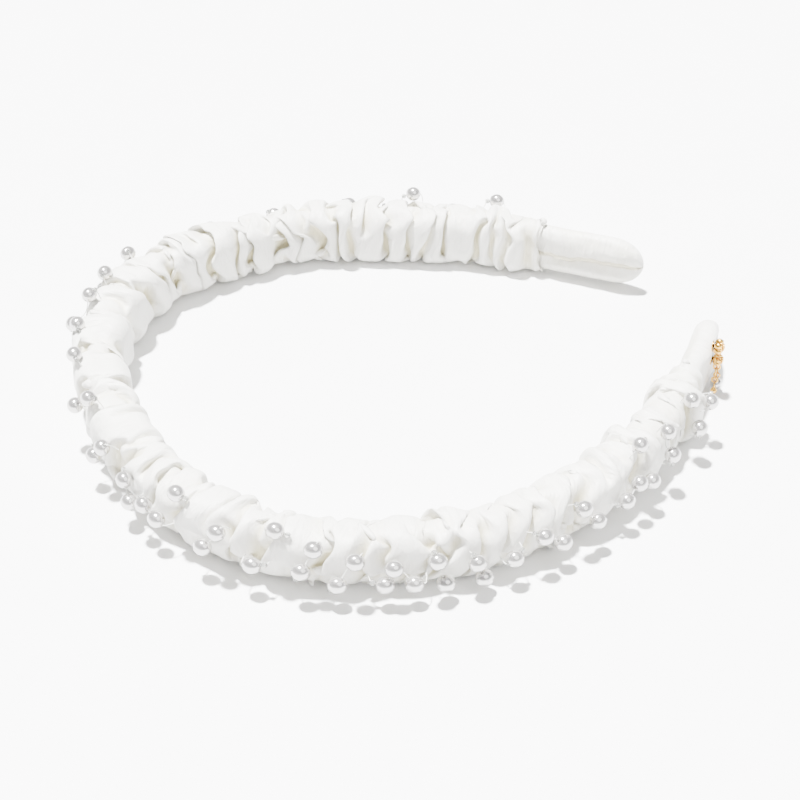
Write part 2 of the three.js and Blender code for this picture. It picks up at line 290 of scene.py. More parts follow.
def keep_order(p, least):
    """Keeps the rows in order along the band, so that walls of a fold never pass through each other."""
    for offset in (0, 1):
        b = p[offset + 1::2, :, 0]
        a = p[offset::2, :, 0][:len(b)]
        short = np.maximum(least - (b - a), 0) / 2
        a -= short
        b += short


def shift(p, gn, gz, amount):
    """Moves points outwards by an amount, along the direction (gn, gz)."""
    p[..., 1] += gn * amount
    p[..., 2] += gz * amount


def press_beads(p, beads):
    """Beads press into the cloth under them."""
    for centre in beads:
        i = int(round((centre[0] + SLEEVE_END) / ROW_STEP))
        local = p[max(i - 8, 0):min(i + 9, len(p))]
        d = local - centre
        length = np.sqrt((d * d).sum(-1, keepdims=True)) + 1e-9
        local += d / length * np.maximum(BEAD_PRESS - length, 0)


def fold_pattern(s, base):
    """Where the folds start: above 0 on a ridge and below 0 in a valley, for each point."""
    # it is drawn on a coordinate that counts folds along the band
    count_along = np.concatenate([[0], np.cumsum(ROW_STEP / fold_length((s[1:] + s[:-1]) / 2))])
    length = int(count_along[-1] * PER_FOLD) + 2 * PATTERN_MARGIN
    field = noise(length, ROUND, 2.2, 17.0, 11)
    field = field - blur(field, 7.0, 0, False)
    field /= field.std()
    fine = noise(length, ROUND, 1.1, 6.0, 13)
    patches = np.clip(noise(length, ROUND, 14, 7, 14) * 0.6 + 0.4, 0, 1)
    field += 0.5 * patches * (fine - blur(fine, 3.0, 0, False))
    # rounded ridges, and sharper valleys
    field = np.where(field > 0, np.tanh(1.1 * field), np.maximum(field * 1.25, -2.4))
    drift = noise(length, ROUND, 20.0, 10.0, 12) * 0.22
    slant = np.interp(s, [-150, -110, -60, -20, 30, 60, 110, 150],
                      [0.05, 0.10, 0.05, 0.02, -0.03, 0.02, 0.05, -0.03])
    index = (count_along[:, None] + slant[:, None] * base[None, :, 1]) * PER_FOLD + PATTERN_MARGIN
    index = np.clip(index, 0, length - 1.001)
    columns = np.arange(ROUND)[None, :]
    index = np.clip(index + drift[index.astype(int), columns] * PER_FOLD, 0, length - 1.001)
    low = index.astype(int)
    share = index - low
    return field[low, columns] * (1 - share) + field[low + 1, columns] * share


def puff_limits(s, base):
    """How far out, and how far up or down, the puffs may reach: unevenly, and less on the right arm."""
    swell = np.clip(noise(len(s), ROUND, 4.0, 9.0, 15) * 0.5, -1.0, 1.0)
    slimmer = np.interp(s, [-165, -60, -20, 60], [0.45, 0.45, 0.1, 0.0])[:, None]
    limit_n = 5.75 + swell - slimmer
    limit_z = np.where(UPPER_HALF, np.minimum(7.2 + swell - slimmer, 8.2),
                       np.minimum(6.7 + swell - 0.9 * slimmer, 6.9))
    # the lower outer corner is tucked in
    corner = np.clip(base[:, 0] / 3.0, 0, 1) * np.clip(-base[:, 1] / 3.0, 0, 1)
    tuck = np.interp(s, [-158, -145, -20, 10, 60], [0.2, 1.0, 1.0, 0.6, 0.3])[:, None] * corner
    return limit_n - 1.3 * tuck, limit_z - 0.9 * tuck


def frill_size(s):
    """Half depth and half height of the frill past the elastic, which swells in lobes and rolls back in."""
    out = np.clip((np.abs(s) - BINDING_STATION - COLLAR_GAP) / 2.0, 0, 1)[:, None]
    wave = (0.7 + 0.9 * np.cos(TURN - 1.75) ** 5 + 0.9 * np.cos(TURN - 4.0) ** 6
            + 0.25 * np.cos(7 * TURN + 0.6))
    roll = 3.2 * out * (1 - out) + 0.08
    return np.stack([3.1 + 0.9 * roll * wave,
                     np.minimum(6.5 + 0.8 * roll * wave, 6.9 + 0.9 * UPPER_HALF)], -1)


def gathered_sleeve(beads):
    """Simulates the sleeve. Gives its rows' stations before gathering, and its points."""
    s = np.linspace(-SLEEVE_END, SLEEVE_END, int(round(2 * SLEEVE_END / ROW_STEP)) + 1)
    base = rounded_section(*START_SECTION, ROUND)
    ring = rounded_section(*BOUND_SECTION, ROUND)
    crease = rounded_section(*CREASE_SECTION, ROUND)
    p = np.zeros((len(s), ROUND, 3))
    p[..., 0] = s[:, None]
    p[..., 1:] = base[None]
    seed = fold_pattern(s, base)
    room = 0.75 + 0.25 * np.abs(base[None, :, 0]) / 5.0
    size = fold_length(s)[:, None] * 0.27 * room
    _, gn, gz = rounded_distance(p[..., 1], p[..., 2], *FOLD_SECTION)
    p[..., 1] += gn * seed * size
    p[..., 2] += gz * seed * size

    # rest lengths: on a bend, the outer side of the band is longer than the inner one
    bend = np.minimum(curvature(s), 1 / 45)
    row_rest = (gather(s) * ROW_STEP)[:, None] / (1 + base[None, :, 0] * bend[:, None])
    row_rest = row_rest[..., None]
    row_rest = (row_rest[1:] + row_rest[:-1]) / 2
    round_rest = TUBE_AROUND / ROUND
    shear_rest = np.sqrt(row_rest ** 2 + round_rest ** 2)

    limit_n, limit_z = puff_limits(s, base)
    collar = np.abs(s) > BINDING_STATION + COLLAR_GAP
    frill = frill_size(s)
    p[collar, :, 1:] = (ring[None] * (frill / np.array(BOUND_SECTION[:2])))[collar]
    limit_n = np.where(collar[:, None], frill[..., 0] + 0.4, limit_n)
    limit_z = np.where(collar[:, None], frill[..., 1] + 0.1, limit_z)
    hem = SLEEVE_END + 0.5 * np.cos(3 * TURN + 0.8) + 0.3 * np.cos(8 * TURN) - 0.4
    binding = np.abs(np.abs(s) - BINDING_STATION) < 0.8
    middle = np.abs(s) < 0.3
    # ridges and valleys are driven outwards and inwards, less and less, and not near the elastic
    drive = 0.035 * np.clip(seed, -1.6, 1.0) * np.clip((BINDING_STATION - 3 - np.abs(s)) / 4, 0, 1)[:, None]
    before = p.copy()
    for step in range(SIM_STEPS):
        moved = (p - before) * 0.92
        before = p.copy()
        p += moved
        _, gn, gz = rounded_distance(p[..., 1], p[..., 2], *FOLD_SECTION)
        shift(p, gn, gz, 0.004 + drive * max(0.0, 1 - step / 90))
        for _ in range(2):
            pull_rows(p, row_rest, 0, 1.0)
            pull_rows(p, row_rest, 1, 1.0)
            pull_round(p, round_rest, 0, 0.8)
            pull_round(p, round_rest, 1, 0.8)
        unbend(p, 0.20, 0)
        unbend(p, 0.10, 1)
        pull_shear(p, shear_rest, 0.3)
        keep_order(p, 0.12 * ROW_STEP)
        # outside the padded band, inside the space that the sleeve has, and on the table
        distance, gn, gz = rounded_distance(p[..., 1], p[..., 2], *PADDED_SECTION)
        shift(p, gn, gz, np.maximum(-distance, 0))
        distance, gn, gz = rounded_distance(p[..., 1], p[..., 2], limit_n, limit_z, PUFF_CORNER)
        shift(p, gn, gz, np.maximum(distance, 0) * -0.6)
        np.maximum(p[..., 2], TABLE, out=p[..., 2])
        press_beads(p, beads)
        # the gathering elastic at each end, and one crease in the middle of the crown
        p[binding, :, 0] = s[binding, None]
        p[binding, :, 1:] = ring[None]
        p[middle, :, 0] = s[middle, None] + 0.25 * np.sin(TURN * 2)
        p[middle, :, 1:] = crease[None]
        p[0, :, 0] = np.maximum(p[0, :, 0], -hem)
        p[-1, :, 0] = np.minimum(p[-1, :, 0], hem)
    np.maximum(p[..., 2], TABLE, out=p[..., 2])
    return s, p


# ---------------------------------------------------------------- sewings, as in the CAD model
CROWN_SEWINGS = [
    [[-7, 6], [-10, 30]], [[-20, 22], [-22, -4]], [[-27, 12], [-31, 6]], [[-34, 52]],
    [[-42, 4], [-44.5, 30]], [[3, 52], [7, 24]], [[20, 50]], [[31, 56]], [[42, 60], [40, 10]],
]
RIGHT_SEWINGS = [
    [[51.5, 2]], [[55, 52]], [[60, 6], [62, 36]], [[66, -10], [69, 24]],
    [[74, -10], [75.5, 14], [79, -12]], [[83, 18], [84.5, -18]], [[90, 6], [91.5, -22]], [[97, -2]],
    [[103, 15], [107, -5]], [[112, 28], [115, 2]], [[123, 4], [127, 16], [131, 5]], [[131, 58]],
    [[138.5, 16], [139, 46]], [[150.5, 10], [151, 50]], [[157.5, 22]],
]
LEFT_SEWINGS = [
    [[51.5, 56]], [[55, 4], [58, -18]], [[62, 42], [64, 14]], [[71, 4], [74, -20], [76, 12]],
    [[82, -6], [85, 18]], [[91, -14], [94, 8]], [[100, 16], [103, -8]], [[109, -20], [112, 4]],
    [[117, 22], [120, -4]], [[126, 8], [128, -20]], [[132, 56]], [[138, -8], [141, 14]],
    [[147, 2], [149, -24]], [[151.5, 44]],
]
BEAD_RADIUS, BEAD_REACH = 1.7, 2.0


def bead_point(station, degrees):
    """The middle of a sewn bead, as (station, outwards, up) in mm."""
    direction = np.array([math.cos(math.radians(degrees)), math.sin(math.radians(degrees))])
    corner = direction * (np.array(SLEEVE_HALF) - SLEEVE_CORNER) / np.abs(direction).max()
    n, z = corner + direction * (SLEEVE_CORNER + BEAD_REACH)
    return np.array([station, n, z])


sewings = {}
for prefix, sets, side in (("pearls_crown", CROWN_SEWINGS, 1), ("pearls_right", RIGHT_SEWINGS, -1),
                           ("pearls_left", LEFT_SEWINGS, 1)):
    for i, group in enumerate(sets):
        sewings[f"{prefix}_{i + 1:02d}"] = [bead_point(side * station, angle) for station, angle in group]


# ---------------------------------------------------------------- materials
def material(name, color, roughness, metallic=0.0, **sockets):
    made = bpy.data.materials.new(name)
    made.use_nodes = True
    shader = made.node_tree.nodes["Principled BSDF"]
    shader.inputs["Base Color"].default_value = (*color, 1)
    shader.inputs["Roughness"].default_value = roughness
    shader.inputs["Metallic"].default_value = metallic
    for key, value in sockets.items():
        shader.inputs[key.replace("_", " ")].default_value = value
    return made, made.node_tree.nodes, made.node_tree.links, shader


def node(nodes, kind, **values):
    made = nodes.new(kind)
    for key, value in values.items():
        if key in made.inputs:
            made.inputs[key].default_value = value
        else:
            setattr(made, key, value)
    return made


def noise_node(nodes, links, source, scale, detail=3.0, stretch=(1, 1, 1)):
    """Noise on coordinates in mm."""
    mapping = node(nodes, "ShaderNodeMapping")
    mapping.inputs["Scale"].default_value = [scale * x for x in stretch]
    links.new(source, mapping.inputs["Vector"])
    made = node(nodes, "ShaderNodeTexNoise", Scale=1.0, Detail=detail)
    links.new(mapping.outputs[0], made.inputs["Vector"])
    return made


def ramp(nodes, links, source, stops):
    made = node(nodes, "ShaderNodeValToRGB")
    elements = made.color_ramp.elements
    while len(elements) < len(stops):
        elements.new(0.5)
    for element, (position, color) in zip(elements, stops):
        element.position, element.color = position, (*color, 1)
    links.new(source, made.inputs["Fac"])
    return made


def multiply(nodes, links, a, b):
    made = nodes.new("ShaderNodeMix")
    made.data_type, made.blend_type = "RGBA", "MULTIPLY"
    made.inputs[0].default_value = 1.0
    links.new(a, made.inputs[6])
    links.new(b, made.inputs[7])
    return made.outputs[2]


def bump(nodes, links, height, distance, strength, after=None):
    made = node(nodes, "ShaderNodeBump", Distance=distance, Strength=strength)
    links.new(height, made.inputs["Height"])
    if after:
        links.new(after, made.inputs["Normal"])
    return made.outputs[0]


def satin_material(name, crease_shade_color, wrinkle):
    """Ivory satin with painted shade in its folds: the deeper in a fold, the darker and warmer its colour.
    Softly crumpled and wrinkled, with a fine weave across the band.
    """
    made, nodes, links, shader = material(name, (0.85, 0.83, 0.78), 0.42, Sheen_Weight=0.25,
                                          Sheen_Roughness=0.35, Specular_IOR_Level=0.45, Anisotropic=0.35)
    uv = node(nodes, "ShaderNodeUVMap", uv_map="cloth").outputs[0]
    fold = node(nodes, "ShaderNodeAttribute", attribute_name="fold").outputs["Fac"]
    # painted shade: the deeper a point lies in a fold, the darker and warmer its colour, down to the given
    # crease colour
    depth = ramp(nodes, links, fold,
                 [(0.0, (0.79, 0.78, 0.735)), (0.4, (0.75, 0.73, 0.645)), (1.0, crease_shade_color)])
    cloud = noise_node(nodes, links, uv, 220.0, 2.0)
    tone = ramp(nodes, links, cloud.outputs["Fac"], [(0.3, (0.965, 0.965, 0.96)), (0.7, (1, 1, 1))])
    color = multiply(nodes, links, depth.outputs[0], tone.outputs[0])
    links.new(color, shader.inputs["Base Color"])
    wrinkles = noise_node(nodes, links, uv, 1000.0, 4.0, (1.1, 0.22, 1.0))
    weave = node(nodes, "ShaderNodeTexWave", Scale=1.0, Distortion=0.6)
    weave.wave_type, weave.bands_direction = "BANDS", "Y"
    weave_scale = node(nodes, "ShaderNodeMapping")
    weave_scale.inputs["Scale"].default_value = (300, 1600, 300)
    links.new(uv, weave_scale.inputs["Vector"])
    links.new(weave_scale.outputs[0], weave.inputs["Vector"])
    rough = node(nodes, "ShaderNodeMapRange", **{"To Min": 0.36, "To Max": 0.5})
    links.new(wrinkles.outputs["Fac"], rough.inputs["Value"])
    links.new(rough.outputs[0], shader.inputs["Roughness"])
    crumple = noise_node(nodes, links, uv, 1000.0, 3.0, (0.42, 0.16, 1.0))
    normal = bump(nodes, links, crumple.outputs["Fac"], 3 * wrinkle, 0.7)
    normal = bump(nodes, links, wrinkles.outputs["Fac"], wrinkle, 0.8, normal)
    normal = bump(nodes, links, weave.outputs["Fac"], 0.00003, 0.35, normal)
    links.new(normal, shader.inputs["Normal"])
    return made


def object_coordinates(nodes):
    return node(nodes, "ShaderNodeTexCoord").outputs["Object"]


def speckled(name, color, roughness, metallic, scale, spread, depth, **sockets):
    """A moulded or metal finish: slight colour variation, uneven gloss and a fine bump."""
    made, nodes, links, shader = material(name, color, roughness, metallic, **sockets)
    source = noise_node(nodes, links, object_coordinates(nodes), scale, 4.0)
    dark = tuple(c * (1 - spread) for c in color)
    tone = ramp(nodes, links, source.outputs["Fac"], [(0.3, dark), (0.7, color)])
    links.new(tone.outputs[0], shader.inputs["Base Color"])
    rough = node(nodes, "ShaderNodeMapRange", **{"To Min": roughness * 0.8, "To Max": roughness * 1.25})
    links.new(source.outputs["Fac"], rough.inputs["Value"])
    links.new(rough.outputs[0], shader.inputs["Roughness"])
    links.new(bump(nodes, links, source.outputs["Fac"], depth, 0.5), shader.inputs["Normal"])
    return made


# the second value is each satin's painted shade colour, reached deepest in its creases
SLEEVE_SATIN = satin_material("sleeve_satin", (0.50, 0.46, 0.31), 0.00034)
COVER_SATIN = satin_material("cover_satin", (0.42, 0.385, 0.28), 0.00034)
PEARL = speckled("pearl", (0.60, 0.585, 0.57), 0.17, 0.78, 700.0, 0.05, 0.00001,
                 Coat_Weight=0.8, Coat_Roughness=0.05)
GLASS = speckled("clear_glass", (0.92, 0.93, 0.91), 0.06, 0.0, 900.0, 0.03, 0.00001,
                 Transmission_Weight=0.9)
THREAD = speckled("thread", (0.80, 0.80, 0.76), 0.55, 0.0, 5000.0, 0.15, 0.00004)
GOLD = speckled("gilt", (0.74, 0.43, 0.085), 0.24, 1.0, 1500.0, 0.14, 0.00005)
PLASTIC = speckled("moulded_plastic", (0.82, 0.82, 0.80), 0.42, 0.0, 600.0, 0.05, 0.00003)
FOAM = speckled("foam", (0.86, 0.84, 0.74), 0.85, 0.0, 2200.0, 0.12, 0.00025)
ELASTIC = speckled("elastic", (0.84, 0.83, 0.80), 0.7, 0.0, 3500.0, 0.12, 0.00012)
FLOOR = speckled("floor", (0.93, 0.93, 0.93), 0.55, 0.0, 60.0, 0.01, 0.00001)

# ---------------------------------------------------------------- bodies
FLEX_STATION = 48             # where the two arms flex, from the middle of the crown
RIDE_BEYOND = 21              # a piece further than this from a flex rides on one body


def blend_arm(obj):
    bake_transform(obj)


def follow(obj, low, high):
    """Rides a piece that covers the stations from low to high on the crown or an arm, or bakes its
    transform into its mesh if it lies near a flex.
    """
    nearest, furthest = sorted((abs(low), abs(high)))
    if low * high <= 0:
        nearest = 0
    arm = "right_arm" if low + high < 0 else "left_arm"
    if furthest < FLEX_STATION - RIDE_BEYOND:
        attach(obj, "crown")
    elif nearest > FLEX_STATION + RIDE_BEYOND:
        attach(obj, arm)
    else:
        blend_arm(obj)


# ---------------------------------------------------------------- sleeve pieces
def set_attribute(obj, name, values):
    attribute = obj.data.attributes.new(name, "FLOAT", "POINT")
    attribute.data.foreach_set("value", np.asarray(values, np.float32))


def finish_sheet(obj):
    """Gives a sheet its thickness, inwards."""
    shell = obj.modifiers.new("thickness", "SOLIDIFY")
    shell.thickness, shell.offset, shell.use_even_offset = SATIN, -1.0, False
    bpy.context.view_layer.objects.active = obj
    with bpy.context.temp_override(object=obj, active_object=obj):
        bpy.ops.object.modifier_apply(modifier=shell.name)


LEAN_SECTION = (4.8, 6.2, 4.0)       # folds lean in proportion to their height over this section


def build_sleeves():
    s, p = gathered_sleeve([point for group in sewings.values() for point in group])
    rows = len(s)
    # lean the folds over, a little differently along the band, so that their lips overlap
    distance, _, _ = rounded_distance(p[..., 1], p[..., 2], *LEAN_SECTION)
    fade = np.clip((SLEEVE_END - 6 - np.abs(s)) / 8, 0, 1) * np.clip(np.abs(s) / 3, 0, 1)
    lean = blur(np.random.default_rng(21).standard_normal((rows, ROUND)), 22, 0, False)
    lean = blur(lean, 8, 1, True)
    lean = lean / lean.std() * 0.7 * fade[:, None]
    p[..., 0] += lean * distance
    smooth = p.copy()
    smooth[1:-1] = (p[:-2] + 2 * p[1:-1] + p[2:]) / 4
    # how deep in a fold each point is, which the material turns into painted shade
    local = blur(distance, 6, 0, False)
    fold = np.clip(0.12 - 0.5 * (distance - local) - 0.16 * distance, 0, 1)
    flat_u = np.concatenate([[0], np.cumsum(gather((s[1:] + s[:-1]) / 2) * ROW_STEP)]) * MM
    flat_v = np.arange(ROUND) * TUBE_AROUND / ROUND * MM
    world = place(smooth)
    middle = rows // 2
    for side, arm, used in ((-1, "right_arm", slice(0, middle + 1)), (1, "left_arm", slice(middle, rows))):
        points = world[used]
        obj = new_object("satin_sleeve_" + arm[:-4], points.reshape(-1, 3), tube_faces(len(points), ROUND))
        add_uv(obj, np.stack(np.meshgrid(flat_u[used], flat_v, indexing="ij"), -1).reshape(-1, 2), ROUND)
        set_attribute(obj, "fold", fold[used].reshape(-1))
        obj.data.materials.append(SLEEVE_SATIN)
        finish_sheet(obj)
        blend_arm(obj)
        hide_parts(*(("sleeve_crown", "sleeve_right") if side < 0 else ("sleeve_left",)))


# ---------------------------------------------------------------- satin cover, foam and core
def tip_scale(s, end, length=7.5):
    over = np.clip((np.abs(s) - (end - length)) / length, 0, 1)
    return np.sqrt(np.maximum(1 - over * over, 0.0004))


def station_rows(end, fine_from, coarse, fine, length=7.5):
    inner = np.arange(0, fine_from, coarse)
    outer = np.arange(fine_from, end - length, fine)
    tip = end - length + length * np.sin(np.linspace(0, math.pi / 2, 14))
    return np.concatenate([inner, outer, tip])


def layer_points(stations, half, corner, count, end, rounding):
    """Rings of a layer along an arm, as (station, outwards, up), with a rounded tip."""
    base = rounded_section(*half, corner, count)
    scale = tip_scale(stations, end)
    points = np.zeros((len(stations), count, 3))
    points[..., 0] = stations[:, None]
    points[..., 1] = base[None, :, 0] * (scale[:, None] ** rounding)
    points[..., 2] = base[None, :, 1] * scale[:, None]
    return points


def tube_object(name, points, close_start=True, close_end=True):
    """A closed tube from rings of points in the straight frame; its rings run towards rising stations."""
    rows, count = points.shape[:2]
    vertices = place(points).reshape(-1, 3).tolist()
    faces = tube_faces(rows, count)
    if close_start:
        faces.append(tuple(range(count)))
    if close_end:
        faces.append(tuple((rows - 1) * count + j for j in reversed(range(count))))
    return new_object(name, vertices, faces)


COVER_ROUND = 88              # points in a ring of the cover
SEAM = COVER_ROUND // 2       # the seam's column, in the middle of the inner face


def cover_points(stations, side):
    """The cover's rings: puckered satin over the foam, with an overlapped seam along its inner face, and
    painted shade for its puckers and its seam.
    """
    points = layer_points(stations, COVER_HALF, COVER_CORNER, COVER_ROUND, COVER_END, 0.8)
    half_n = np.abs(points[..., 1]).max(1)
    rows = len(stations)
    pucker = (noise(rows, COVER_ROUND, 3.0, 2.5, 31 + side) * 0.10
              + noise(rows, COVER_ROUND, 9, 6, 33 + side) * 0.28)
    bare = np.clip((stations - SLEEVE_END + 0.5) / 4, 0, 1)     # 0 under the sleeve, where it lies flatter
    pucker *= (0.35 + 0.65 * bare)[:, None]
    points[..., 1] *= 1 + pucker * np.clip(tip_scale(stations, COVER_END), 0, 1)[:, None] / 2.2
    points[..., 2] *= 1 + pucker / 20
    # the seam wanders up and down
    seam_z = (0.6 * np.sin(stations * 0.21 + side) + 0.25 * np.sin(stations * 0.71 + 2.0)
              + 0.12 * np.sin(stations * 1.7))
    seam_z *= tip_scale(stations, COVER_END)
    inner = points[..., 1] < 0
    near = np.clip(1 - np.abs(points[..., 2]) / 3.4, 0, 1) * inner
    points[..., 2] += near * seam_z[:, None]
    # the upper flap stands proud of the lower one, and both are softly rolled
    groove = np.clip((COVER_END - 1 - stations) / 4, 0, 1) * bare
    columns = np.arange(COVER_ROUND)
    upper = (columns > COVER_ROUND // 4 - 3) & (columns <= SEAM)
    rise = np.where(columns == SEAM, 1.0, np.clip(1 - (SEAM - columns) / 14, 0, 1)) * upper
    points[..., 1] -= rise[None] * (0.8 * groove)[:, None]
    height = points[..., 2]
    rolls = 0.45 * np.exp(-((height - 2.8) / 2.0) ** 2) + 0.75 * np.exp(-((height + 3.0) / 1.7) ** 2)
    points[..., 1] -= rolls * inner * groove[:, None]
    # the groove under the flap's edge
    points[:, SEAM + 1, 2] = points[:, SEAM, 2] + 0.05
    points[:, SEAM + 1, 1] = -half_n * (0.99 - 0.22 * groove)
    points[:, SEAM + 2, 1] = -half_n * (1.0 - 0.12 * groove)
    points[:, SEAM, 2] -= 0.40 * groove
    # painted shade for the material: darker in the puckers' hollows, and a dark line painted along the seam
    # under the flap's edge
    fold = np.clip(0.12 - pucker * 0.8, 0, 1)
    fold[:, SEAM - 2] = 0.35
    fold[:, SEAM - 1:SEAM + 3] = 1.0
    fold[:, SEAM + 3] = 0.5
    return points, fold


def build_cover(side, arm):
    stations = station_rows(COVER_END, 148, 1.5, 0.5)
    points, fold = cover_points(stations, side)
    if side < 0:
        points, fold, stations = points[::-1].copy(), fold[::-1], stations[::-1]
        points[..., 0] *= -1
    obj = tube_object("satin_cover_" + arm[:-4], points, close_start=side < 0, close_end=side > 0)
    around = (2 * (COVER_HALF[0] + COVER_HALF[1]) * 2 - 8 * COVER_CORNER
              + 2 * math.pi * COVER_CORNER)
    flat_v = np.arange(COVER_ROUND) * around / COVER_ROUND * MM
    flat = np.stack(np.meshgrid(stations * MM, flat_v, indexing="ij"), -1).reshape(-1, 2)
    layer, uv = uv_layer(obj, flat)
    layer.data.foreach_set("uv", uv.reshape(-1))
    set_attribute(obj, "fold", fold.reshape(-1))
    obj.data.materials.append(COVER_SATIN)
    finish_sheet(obj)
    blend_arm(obj)
    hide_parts(*(("cover_crown", "cover_right") if side < 0 else ("cover_left",)))


def build_layer(name, side, half, corner, end, uneven, seed, made_of, nodes_replaced):
    stations = station_rows(end, end - 8, 2.0, 1.0)
    count = 40
    points = layer_points(stations, half, corner, count, end, 0.8)
    rough = noise(len(stations), count, 1.2, 1.2, seed)
    points[..., 1] *= 1 + rough * uneven / half[0]
    points[..., 2] *= 1 + rough * uneven / half[1]
    if side < 0:
        points = points[::-1].copy()
        points[..., 0] *= -1
    obj = tube_object(name, points)
    obj.data.materials.append(made_of)
    blend_arm(obj)
    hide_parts(*nodes_replaced)
    return obj


ELASTIC_ROUND = 144
ELASTIC_SECTION = (2.78, 6.23, 2.6)
# its profile, (along the band, outwards) in mm
ELASTIC_PROFILE = [(-0.62, -0.1), (-0.62, 0.1), (-0.4, 0.16), (0.0, 0.17), (0.4, 0.16), (0.62, 0.1),
                   (0.62, -0.1), (0.0, -0.14)]


def build_elastic(side, arm):
    """The elastic that gathers the sleeve's end, a ribbed round-cornered band."""
    ring = rounded_section(*ELASTIC_SECTION, ELASTIC_ROUND)
    direction = ring / np.linalg.norm(ring, axis=1, keepdims=True)
    rib = 0.035 * np.cos(np.arange(ELASTIC_ROUND) * 2 * math.pi / 3)
    size = len(ELASTIC_PROFILE)
    points = np.zeros((ELASTIC_ROUND, size, 3))
    for k, (ds, dn) in enumerate(ELASTIC_PROFILE):
        points[:, k, 0] = side * (BINDING_STATION + ds)
        points[:, k, 1:] = ring + direction * (dn + (rib if dn > 0 else 0 * rib))[:, None]
    faces = []
    for j in range(ELASTIC_ROUND):
        for k in range(size):
            a, b = j * size, ((j + 1) % ELASTIC_ROUND) * size
            quad = (a + k, b + k, b + (k + 1) % size, a + (k + 1) % size)
            faces.append(quad if side > 0 else quad[::-1])
    obj = new_object("elastic_" + arm[:-4], place(points).reshape(-1, 3), faces)
    obj.data.materials.append(ELASTIC)
    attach(obj, arm)
    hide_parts("gather_elastic_" + arm[:-4])


# ---------------------------------------------------------------- beads
class Builder:
    """Collects revolved and swept shapes as one mesh, which make() moves to its place with a transform."""

    def __init__(self):
        self.vertices, self.faces, self.material_of = [], [], []

    def grid(self, points, kind, wrap_rows=False, caps=False):
        rows, count = points.shape[:2]
        first = len(self.vertices)
        self.vertices.extend(points.reshape(-1, 3).tolist())
        faces = tube_faces(rows, count, first, wrap_rows)
        if caps:
            faces.append(tuple(first + j for j in range(count)))
            faces.append(tuple(first + (rows - 1) * count + j for j in reversed(range(count))))
        self.faces.extend(faces)
        self.material_of.extend([kind] * len(faces))

    def revolve(self, profile, centre, axis, kind, segments=24, closed=True):
        """profile is (distance along the axis, radius), in mm; a closed one comes back to its start."""
        axis = np.array(axis, float) / np.linalg.norm(axis)
        other = np.array((0, 0, 1.0)) if abs(axis[2]) < 0.8 else np.array((1.0, 0, 0))
        u = np.cross(axis, other)
        u /= np.linalg.norm(u)
        v = np.cross(axis, u)
        turn = np.arange(segments) * 2 * math.pi / segments
        rim = np.cos(turn)[:, None] * u + np.sin(turn)[:, None] * v
        points = np.array([np.array(centre) + a * axis + r * rim for a, r in profile])
        self.grid(points, kind, wrap_rows=closed)

    def tube(self, path, radius, kind, segments=8):
        path = np.array(path, float)
        tangents = np.gradient(path, axis=0)
        tangents /= np.linalg.norm(tangents, axis=1, keepdims=True)
        u = np.cross(tangents[0], (0.31, 0.42, 0.85))
        rings = []
        turn = np.arange(segments) * 2 * math.pi / segments
        for point, tangent in zip(path, tangents):
            u = u - tangent * (u @ tangent)
            u /= np.linalg.norm(u)
            v = np.cross(tangent, u)
            rings.append(point + radius * (np.cos(turn)[:, None] * u + np.sin(turn)[:, None] * v))
        self.grid(np.array(rings), kind, caps=True)

    def make(self, name, materials, transform):
        obj = new_object(name, transform(np.array(self.vertices)), self.faces)
        for made_of in materials:
            obj.data.materials.append(made_of)
        obj.data.polygons.foreach_set("material_index", self.material_of)
        return obj


def bored_ball(radius, hole, lip, steps=20):
    """The profile of a round bead with a hole through it, whose rim is slightly rounded."""
    start = math.asin(min((hole + lip) / radius, 1))
    arc = [(-radius * math.cos(a), radius * math.sin(a))
           for a in np.linspace(start, math.pi - start, steps)]
    edge = radius * math.cos(start)
    inner = [(edge - lip * 0.7, hole), (0.0, hole), (lip * 0.7 - edge, hole)]
    return arc + inner


def smooth_path(points, per=6):
    """A Catmull-Rom curve through the points."""
    points = [np.array(p, float) for p in points]
    points = [2 * points[0] - points[1]] + points + [2 * points[-1] - points[-2]]
    path = []
    for a, b, c, d in zip(points, points[1:], points[2:], points[3:]):
        for t in np.arange(per) / per:
            path.append(0.5 * (2 * b + (c - a) * t + (2 * a - 5 * b + 4 * c - d) * t * t
                               + (3 * b - a - 3 * c + d) * t ** 3))
    return path + [points[-2]]


THREAD_RADIUS, SEED_RADIUS = 0.10, 0.56


def build_sewing(name, group, index):
    """Beads on a thread that dips into the satin between them, with a clear seed bead at one end."""
    made = Builder()
    first, last = group[0], group[-1]
    rng = np.random.default_rng(500 + index)
    if len(group) == 1:
        turn = rng.uniform(-0.9, 0.9)
        away = np.array((math.cos(turn), 0, math.sin(turn) * 0.8))
    else:
        away = (last - first) / np.linalg.norm(last - first)

    def down(point, share):
        """The same place round the sleeve, but nearer its middle."""
        return np.array((point[0], point[1] * share, point[2] * share))

    seed_at = down(first - away * (BEAD_RADIUS + 0.48), 0.93)
    path = [down(first - away * 3.1, 0.62), down(first - away * 2.7, 0.80), seed_at, first]
    for a, b in zip(group, group[1:]):
        if np.linalg.norm(b - a) > 4.6:
            path.append(down((a + b) / 2, 0.84))
        path.append(b)
    path += [last + away * 1.75, down(last + away * 2.3, 0.84), down(last + away * 2.5, 0.62)]
    made.tube(smooth_path(path, 5), THREAD_RADIUS, 2, 6)
    for i, point in enumerate(group):
        before = group[i - 1] if i else seed_at
        after = group[i + 1] if i + 1 < len(group) else last + away * 1.75
        made.revolve(bored_ball(BEAD_RADIUS, 0.26, 0.10, 18), point, after - before, 0, 26)
    made.revolve(bored_ball(SEED_RADIUS, 0.16, 0.10, 8), seed_at, first - seed_at, 1, 14)
    obj = made.make("sewn_" + name, (PEARL, GLASS, THREAD), place)
    stations = [p[0] for p in group]
    follow(obj, min(stations), max(stations))
    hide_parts(name)


